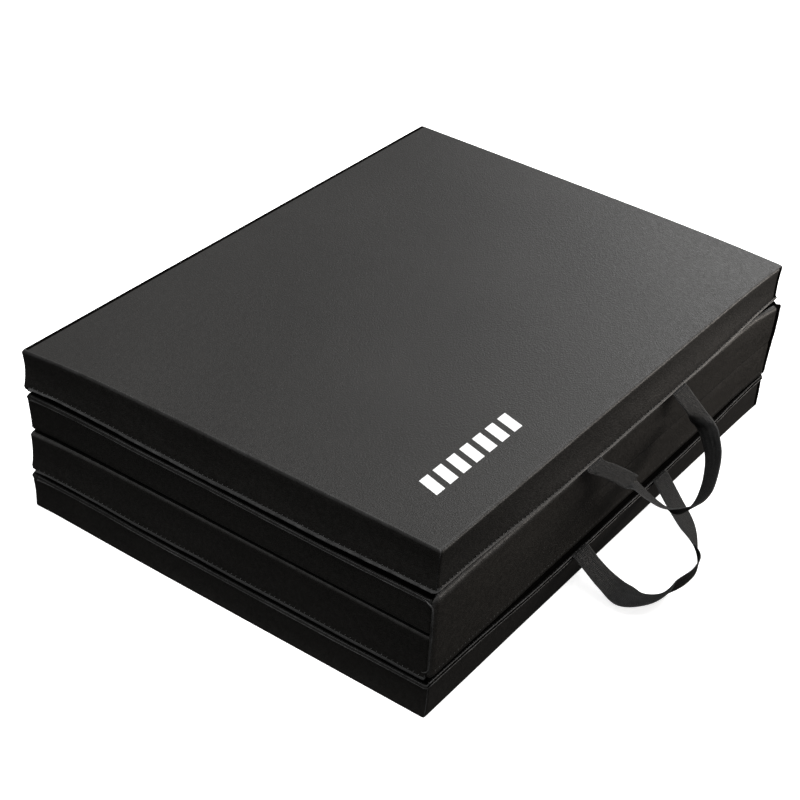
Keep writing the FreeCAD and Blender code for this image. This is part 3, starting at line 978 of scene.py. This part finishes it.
def rounded_patch(half_u, half_v, corner, cell_u, cell_v, extra_v=()):
    """A grid (rows, columns) of flat (u, v) points that fills a rounded rectangle."""
    def lines(half, cell, extra=()):
        share = np.arange(1, 5) / 4
        core = half - corner
        straight = np.linspace(-core, core, max(2, round(2 * core / cell)) + 1)
        straight = np.sort(np.concatenate([straight, extra]))
        cores = np.concatenate([np.full(4, -core), straight, np.full(4, core)])
        return cores, np.concatenate([-share[::-1], np.zeros(len(straight)), share])

    cu, su = lines(half_u, cell_u)
    cv, sv = lines(half_v, cell_v, extra_v)
    sv_grid, su_grid = np.meshgrid(sv, su, indexing="ij")
    cv_grid, cu_grid = np.meshgrid(cv, cu, indexing="ij")
    u = cu_grid + corner * su_grid * np.sqrt(1 - sv_grid ** 2 / 2)
    v = cv_grid + corner * sv_grid * np.sqrt(1 - su_grid ** 2 / 2)
    return u, v


def facing_point(panels, u, z, stand):
    """Points of the tall facing, at distances u along the front and round its corners."""
    upper, lower = panels
    flat_u, flat_z, flat_stand = u.ravel(), z.ravel(), stand.ravel()
    base, normal = outline_at(upper, flat_u)
    plan = base + normal * (upper.corner + flat_stand)[:, None]
    height = np.where(flat_z > upper.low, upper.high - flat_z, flat_z - lower.low)
    on_upper = out_of_square(upper, plan[:, 0], plan[:, 1], height)
    on_lower = out_of_square(lower, plan[:, 0], plan[:, 1], height)
    share = smooth((flat_z - lower.high + 6 * MM) / (12 * MM))[:, None]
    plan = plan + on_upper * share + on_lower * (1 - share)
    depth = np.clip((flat_z - upper.low) / upper.height, 0, 1)
    sag = corner_sag(upper, plan[:, 0], plan[:, 1]) * depth ** 2
    return np.column_stack([plan, flat_z - sag]).reshape(*u.shape, 3)


def crease_line(u, fold):
    """Height of the fine crease along the facing, just under the fold."""
    return fold - 2.2 * MM - 1.5 * MM * smooth((u + 0.1) / 0.35) + 0.4 * MM * np.sin(u * 21)


def facing_stand(u, z, fold, low, high):
    """How far the facing stands out: a fine step along its middle, turned-in edges."""
    def turned_in(depth, share):
        return depth * (1 - np.sqrt(1 - np.clip(1 - share, 0, 0.995) ** 2))

    under = crease_line(u, fold) - z
    fade = smooth((0.299 - np.abs(u)) / 0.012) * (0.25 + 0.75 * smooth((u + 0.12) / 0.2))
    crease = smooth(under / (0.55 * MM)) * np.exp(-np.clip(under, 0, None) / (3.2 * MM)) * fade
    dip = np.exp(-(under / (7 * MM)) ** 2) * fade
    spot = np.column_stack([u.ravel(), z.ravel() * 2, u.ravel() * 0.3])
    soft = waves(spot, 8, 200).reshape(u.shape)
    creases = waves(spot * [1, 3, 1], 24, 201).reshape(u.shape)
    return (FACING_LIFT + 0.8 * MM - 0.35 * MM * crease - 0.2 * MM * dip
            - turned_in(4.6 * MM, (high - z) / (5.5 * MM))
            - turned_in(2.6 * MM, (z - low) / (3.2 * MM))
            + 0.3 * MM * soft + 0.07 * MM * creases)


def round_bead(spine, outward, radius, closed, sides=8):
    """Points and faces of a round cord along a line that lies on a surface."""
    if closed:
        along = unit(np.roll(spine, -1, axis=0) - np.roll(spine, 1, axis=0))
    else:
        along = unit(np.gradient(spine, axis=0))
    side = np.cross(along, outward)
    turn = np.linspace(0, 2 * np.pi, sides, endpoint=False)
    girth = np.broadcast_to(radius, len(spine))[:, None, None]
    rings = spine[:, None] + girth * (outward[:, None] * np.sin(turn)[None, :, None]
                                      + side[:, None] * np.cos(turn)[None, :, None])
    if not closed:
        return tube(rings[:, ::-1])
    faces = []
    numbers = np.arange(len(rings) * sides).reshape(len(rings), sides)
    for ring, following in zip(numbers, np.roll(numbers, -1, axis=0)):
        faces += list(zip(ring, np.roll(ring, -1), np.roll(following, -1), following))
    return rings.reshape(-1, 3), faces


def make_facing(upper, lower):
    """The tall cloth over the fronts of panels 2 and 3, and the seams at its ends, paler with
    scuffing and painted highlight.
    """
    panels = (upper, lower)
    low, high = lower.low - 3.4 * MM, upper.high - 1.4 * MM
    middle, half_v = (low + high) / 2, (high - low) / 2
    corner_u = upper.half_x - upper.corner * (1 - np.pi / 4)
    half_u = corner_u + 1.0 * MM
    fold_z = (upper.low + lower.high) / 2
    step = crease_line(0.0, fold_z) - middle
    crease_rows = step + np.array([-1.6, -0.8, -0.4, -0.1, 0.2]) * MM
    u, v = rounded_patch(half_u, half_v, 6 * MM, 3 * MM, 1.5 * MM, crease_rows)
    near_crease = np.exp(-((v - step) / (9 * MM)) ** 2)
    z = v + middle
    z += (crease_line(u, fold_z) - crease_line(0.0, fold_z)) * near_crease
    stand = facing_stand(u, z, fold_z, low, high)
    front = facing_point(panels, u, z, stand)
    back = facing_point(panels, u, z, stand - 0.8 * MM)
    points, faces = slab(front, back)
    flat_u, flat_z = np.tile(u.ravel(), 2), np.tile(z.ravel(), 2)
    # painted shade: near-black round the right-hand end and along the bottom edge, dimmer in the
    # crease and in a band just above the bottom edge
    bound = (flat_u > upper.half_x - upper.corner - 5 * MM) | (flat_z < low + 0.9 * MM)
    under = crease_line(flat_u, fold_z) - flat_z
    crease_shaded = (under > -0.3 * MM) & (under < 1.7 * MM) & (flat_u > -0.03)
    crease_shaded |= np.abs(flat_z - lower.low - 0.2 * MM) < 1.3 * MM
    shades = [
        1 if all(bound[i] for i in face) else 2 * all(crease_shaded[i] for i in face) for face in faces
    ]
    # scuffing at the facing's ends, and a painted highlight along its top shoulder, strongest at
    # the left
    worn_and_lit = np.clip(1 - (half_u - np.abs(u)) / (4 * MM), 0, 1) * 0.4
    worn_and_lit += (0.7 - 0.6 * smooth((u + 0.05) / 0.2)) * np.exp(-((high - z - 2 * MM) / (4 * MM)) ** 2)
    piece = new_piece(
        "front_facing", (points, faces), HINGE, slot="hinge_leather",
        wear=np.tile(worn_and_lit.ravel(), 2), shades=shades,
    )
    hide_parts("front_facing_2", "front_facing_3")
    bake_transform(piece)

    # the seams at the ends turn out over the walls at the top and at the bottom
    lip, count = upper.high - LIP, 120
    path = spline(
        [(corner_u + 9.5 * MM, lip - 0.2 * MM), (corner_u + 5 * MM, lip - 0.8 * MM),
         (corner_u + 1.6 * MM, lip - 3.2 * MM), (corner_u + 0.2 * MM, lip - 8 * MM),
         (corner_u, fold_z + 14 * MM), (corner_u - 0.4 * MM, fold_z), (corner_u, fold_z - 14 * MM),
         (corner_u + 0.2 * MM, lower.low + 9 * MM), (corner_u + 1.8 * MM, lower.low + 4.5 * MM),
         (corner_u + 5.5 * MM, lower.low + 2.4 * MM)],
        count,
    )
    turned_out = smooth((path[:, 0] - corner_u - 1 * MM) / (5 * MM))
    proud = FACING_LIFT + 0.55 * MM - 0.9 * MM * turned_out
    ends = np.minimum(np.arange(count), np.arange(count)[::-1]) / 10
    parts, wear = [], []
    for side in (-1, 1):
        line_u, line_z = side * path[:, 0], path[:, 1]
        spine = facing_point(panels, line_u, line_z, proud)
        _, normal = outline_at(upper, line_u)
        out = np.column_stack([normal, np.zeros(len(normal))])
        radius = (0.8 + 0.12 * waves(spine, 60, 210)) * MM
        points, faces = round_bead(spine, out, radius * np.clip(ends, 0.25, 1), closed=False)
        parts.append((points, faces if side > 0 else [tuple(reversed(f)) for f in faces]))
        # painted highlight on the end seams: brighter above the fold and towards the bottom, faint
        # on the right-hand seam
        bright = 0.45 + 0.55 * smooth((line_z - fold_z - 12 * MM) / (14 * MM))
        bright += 0.3 * smooth((fold_z - 22 * MM - line_z) / (10 * MM))
        if side > 0:
            bright *= 0.1
        wear.append(np.repeat(bright, 8))
    wear = np.concatenate(wear)
    edge = new_piece("front_facing_seams", merge(parts), WELT, slot="welt", wear=wear)
    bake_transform(edge)

    x = np.arange(-corner_u + 6 * MM, corner_u - 6 * MM, STITCH_PITCH)
    height = np.full(len(x), lower.low + 3.2 * MM)
    stand = facing_stand(x, height, fold_z, low, high) - 0.1 * MM
    centres = facing_point(panels, x, height, stand)
    slanted = unit(np.array([0.25, 0.0, 1.0]))
    shape = beads(centres, slanted, (0, -1, 0), 2.8 * MM, 0.36 * MM)
    new_piece("front_facing_stitching", shape, THREAD, lower.body, "welt")


def make_back_strip(upper, lower):
    """The cloth that joins two panels along the back, with two rows of stitches."""
    leaf_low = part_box(f"back_hinge_leaf_{lower.k}")[0].z
    leaf_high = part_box(f"back_hinge_leaf_{upper.k}")[1].z
    middle, half_v = (leaf_low + leaf_high) / 2, (leaf_high - leaf_low) / 2
    half_u = upper.half_x - 10 * MM
    u, v = rounded_patch(half_u, half_v, 4 * MM, 3 * MM, 1.5 * MM)
    spot = np.column_stack([u.ravel(), v.ravel() * 2, u.ravel() * 0.3])
    soft = waves(spot, 10, 220 + upper.k).reshape(u.shape)
    crease = np.exp(-(v / (1.4 * MM)) ** 2)
    y = upper.back + (1.3 + 0.15 * soft - 0.8 * crease) * MM
    front = np.stack([u, y, v + middle], axis=2)
    back = np.stack([u, y - 1.0 * MM, v + middle], axis=2)
    points, faces = slab(back, front)
    piece = new_piece(
        f"back_strip_{upper.k}{lower.k}", (points, faces), HINGE, slot="hinge_leather",
        wear=np.zeros(len(points)),
    )
    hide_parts(f"back_hinge_leaf_{upper.k}", f"back_hinge_leaf_{lower.k}")
    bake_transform(piece)
    x = np.arange(-half_u + 4 * MM, half_u - 4 * MM, 3.4 * MM)
    for panel, way in ((upper, 1), (lower, -1)):
        row_z = middle + way * (half_v - 2.5 * MM)
        centres = np.column_stack([x, np.full((len(x), 2), (upper.back + 1.35 * MM, row_z))])
        shape = beads(centres, (1, 0, 0), (0, 1, 0), 2.5 * MM, 0.28 * MM)
        panel.piece("back_strip_stitching", shape, THREAD, "welt")


# ---------------------------------------------------------------- handles

def make_handle(k, route, root_z):
    """A webbing strap, from inside the swollen seam, round its loop, and back in."""
    points = [np.array(point) * MM for point, _ in route]
    ways = [unit(np.array(way, float)) for _, way in route]
    roots = [[np.array([end[0], y, root_z]) for y in (-0.2270, -0.2305)]
             for end in (points[0], points[-1])]
    line = roots[0] + points + roots[1][::-1]
    ways = [ways[0]] * 2 + ways + [ways[-1]] * 2
    sampled = spline(np.hstack([line, ways]), 420)
    centre, way = sampled[:, :3], unit(sampled[:, 3:])
    along = unit(np.gradient(centre, axis=0))
    face = unit(np.cross(along, way))

    # round the strap's section: its two faces, from selvage to selvage
    across = np.linspace(-1, 1, 15)
    places = np.concatenate([across, across[::-1]])
    sides = np.repeat([1.0, -1.0], len(across))
    roll = np.sqrt(np.clip(1 - np.abs(places) ** 14, 0, 1))
    selvage = 0.22 * np.exp(-((np.abs(places) - 0.9) / 0.07) ** 2)
    thick = sides * STRAP_THICKNESS / 2 * (0.8 * roll + selvage)
    wide = places * STRAP_WIDTH / 2
    uneven = 0.12 * MM * waves(centre, 40, 300 + k)
    rings = (centre[:, None] + way[:, None] * (wide[None, :, None])
             + face[:, None] * (thick[None, :, None] + uneven[:, None, None]))
    wear = np.tile(np.exp(-((np.abs(places[::-1]) - 0.97) / 0.05) ** 2), len(centre))
    piece = new_piece(f"handle_{k}", tube(rings[:, ::-1]), STRAP, slot="webbing", wear=wear)

    # the weave's map: metres along the strap, and across it
    run = np.concatenate([[0], np.cumsum(np.linalg.norm(np.diff(centre, axis=0), axis=1))])
    strap_uv = np.column_stack([np.repeat(run, len(places)), np.tile(wide[::-1], len(centre))])
    index = np.zeros(len(piece.data.loops), np.int32)
    piece.data.loops.foreach_get("vertex_index", index)
    layer = piece.data.uv_layers.new(name="strap")
    layer.data.foreach_set("uv", strap_uv[index].astype(np.float32).ravel())
    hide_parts(f"carry_handle_{k}", f"handle_roots_{k}")
    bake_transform(piece)


# ---------------------------------------------------------------- zips

def make_zip(panel):
    """Teeth, the bound edge of the slot, and its stitches, in the right-hand end."""
    middle = panel.to_z(panel.height / 2)
    teeth_low, teeth_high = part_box(f"zip_teeth_{panel.k}")
    x0, x1 = teeth_low.x, teeth_high.x
    half = 0.5 * MM
    tight = 0.75 * half
    parts = []
    for row, y in enumerate(np.arange(teeth_low.y + 0.6 * MM, teeth_high.y, 1.25 * MM)):
        side = 1 if row % 2 else -1
        z0, z1 = middle - side * 0.5 * MM, middle + side * 1.75 * MM
        sections = np.array([
            [(x, y - w, low), (x, y + w, low), (x, y + w, high), (x, y - w, high)]
            for x, w, low, high in (
                (x0, half, z0, z1), (x1, tight, z0 + side * 0.3 * MM, z1 - side * 0.4 * MM)
            )
        ])
        parts.append(tube(sections if side < 0 else sections[:, ::-1]))
    piece = panel.piece("zip_coil", merge(parts), NYLON, "zip_plastic")
    piece.data.shade_flat()
    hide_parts(f"zip_teeth_{panel.k}")

    def on_wall(y, inset, height):
        base = np.column_stack([np.full(len(y), panel.half_x - panel.corner), y])
        return place(panel, base, np.tile([1.0, 0.0], (len(y), 1)), inset, height)

    # bound edge round the slot: a rounded loop of folded cloth
    reach = ZIP_HALF + 0.5 * MM
    y = np.concatenate([np.linspace(-reach, reach, 160) * -way for way in (-1, 1)])
    height = panel.height / 2 + np.repeat([-ZIP_SLOT_HALF, ZIP_SLOT_HALF], 160) * panel.up
    spine = on_wall(y, 0.2 * MM, height)
    out = np.tile([1.0, 0.0, 0.0], (len(y), 1))
    shape = round_bead(spine, out, 0.7 * MM, closed=True)
    panel.piece("zip_binding", shape, COVER, "cover_leather", wear=np.full(len(shape[0]), 0.2))

    y = np.arange(-ZIP_HALF, ZIP_HALF, 3.4 * MM)
    rows = []
    for way in (-1, 1):
        height = panel.height / 2 + way * (ZIP_SLOT_HALF + 2.2 * MM)
        centres = on_wall(y, -0.05 * MM, height)
        rows.append(beads(centres, (0, 1, 0), (1, 0, 0), 2.5 * MM, 0.28 * MM))
    panel.piece("zip_stitching", merge(rows), THREAD, "welt")


def dress_cad_nodes():
    """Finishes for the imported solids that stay: zip tapes, stops, sliders and pulls."""
    finishes = {"zip_tape": TAPE, "zip_stops": METAL, "zip_slider": METAL, "zip_pull": METAL}
    for name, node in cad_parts.items():
        kind = name.rsplit("_", 1)[0]
        if kind not in finishes:
            continue
        node.data.materials.clear()
        node.data.materials.append(finishes[kind])
        bevel = node.modifiers.new("soft edges", "BEVEL")
        bevel.width = 0.2 * MM
        bevel.segments = 2
        bevel.limit_method = "ANGLE"


# ---------------------------------------------------------------- print

def make_print(panel):
    """A plain white row of slanted bars on the top face, near the front."""
    bars = 7
    left, right, near, tall, slant = -241 * MM, -108 * MM, -181 * MM, 22 * MM, 6 * MM
    pitch = (right - left - slant) / (bars - 0.38)
    up = np.array([0, 0, 0.10 * MM])
    u, v = np.meshgrid(np.linspace(0, 1, 5), np.linspace(0, 1, 8))
    parts = []
    for i in range(bars):
        x = (left + i * pitch + u * pitch * 0.62 + v * slant).ravel()
        y = (near + v * tall).ravel()
        z = panel.to_z(panel.height) + face_rise(panel, x, y)
        surface = np.column_stack([x, y, z]).reshape(8, 5, 3)
        parts.append(slab(surface - up, surface + up))
    piece = new_piece("top_print", merge(parts), INK, panel.body)
    piece.data.shade_flat()


# ---------------------------------------------------------------- studio

def make_studio():
    """Camera, pale floor and soft lights."""
    camera = bpy.data.objects.new("camera", bpy.data.cameras.new("camera"))
    bpy.context.scene.collection.objects.link(camera)
    right, down, forward = (Vector(v) for v in (CAMERA_RIGHT, CAMERA_DOWN, CAMERA_FORWARD))
    camera.matrix_world = Matrix.Translation(CAMERA_PLACE) @ Matrix(
        [[right[i], -down[i], -forward[i]] for i in range(3)]
    ).to_4x4()
    camera.data.sensor_width = SENSOR
    camera.data.lens = CAMERA_LENS
    bpy.context.scene.camera = camera

    mesh = bpy.data.meshes.new("floor")
    reach = 40.0
    corners = [(-reach, -reach, 0), (reach, -reach, 0), (reach, reach, 0), (-reach, reach, 0)]
    mesh.from_pydata(corners, [], [(0, 1, 2, 3)])
    floor = bpy.data.objects.new("floor", mesh)
    bpy.context.scene.collection.objects.link(floor)
    material, _, shader = new_material("floor", Roughness=0.9, Specular_IOR_Level=0.1)
    shader.inputs["Base Color"].default_value = (0.93, 0.93, 0.93, 1)
    shader.inputs["Emission Color"].default_value = (1, 1, 1, 1)
    shader.inputs["Emission Strength"].default_value = 0.72
    mesh.materials.append(material)
    # as if dark flags stood round the mat: its walls don't mirror the pale floor
    floor.visible_glossy = False
    floor.visible_diffuse = False

    world = bpy.data.worlds.new("studio")
    world.use_nodes = True
    tree = world.node_tree
    direction = add_node(tree, "TexCoord").outputs["Generated"]
    level = add_node(tree, "SeparateXYZ", {"Vector": direction}).outputs["Z"]
    sky = ramp(tree, level, [(0.0, (0.05, 0.05, 0.05)), (0.002, (0.75, 0.75, 0.75))])
    tree.links.new(sky, tree.nodes["Background"].inputs["Color"])
    tree.nodes["Background"].inputs["Strength"].default_value = 0.64
    bpy.context.scene.world = world
    bpy.context.scene.view_settings.view_transform = "Standard"

    def area(name, place, target, size, power, colour=(1, 1, 1)):
        light = bpy.data.lights.new(name, "AREA")
        light.shape = "RECTANGLE"
        light.size, light.size_y = size
        light.energy = power
        light.color = colour
        lamp = bpy.data.objects.new(name, light)
        bpy.context.scene.collection.objects.link(lamp)
        lamp.location = place
        lamp.rotation_euler = (Vector(target) - Vector(place)).to_track_quat("-Z", "Y").to_euler()

    area("side softbox", (2.3, 0.0, 1.35), (0.1, 0, 0.1), (2.0, 1.4), 33)
    area("top softbox", (-0.2, -0.1, 2.6), (0, 0, 0), (2.4, 2.4), 74)
    area("front fill", (0.98, -0.95, 0.16), (0.1, -0.2, 0.08), (0.9, 0.24), 7, (1.0, 0.92, 0.84))


def main():
    make_studio()
    panels = {k: Panel(k) for k in PANELS}
    for panel in panels.values():
        make_cover(panel)
        make_foam(panel)
        make_inner_face(panel)
        make_welt(panel)
        make_stitching(panel)
        make_corner_seams(panel)
        make_zip(panel)
    make_facing(panels[2], panels[3])
    make_back_strip(panels[1], panels[2])
    make_back_strip(panels[3], panels[4])
    make_handle(1, UPPER_ROUTE, 131.7 * MM)
    make_handle(4, LOWER_ROUTE, 37.6 * MM)
    dress_cad_nodes()
    make_print(panels[1])


main()
bpy.context.view_layer.update()
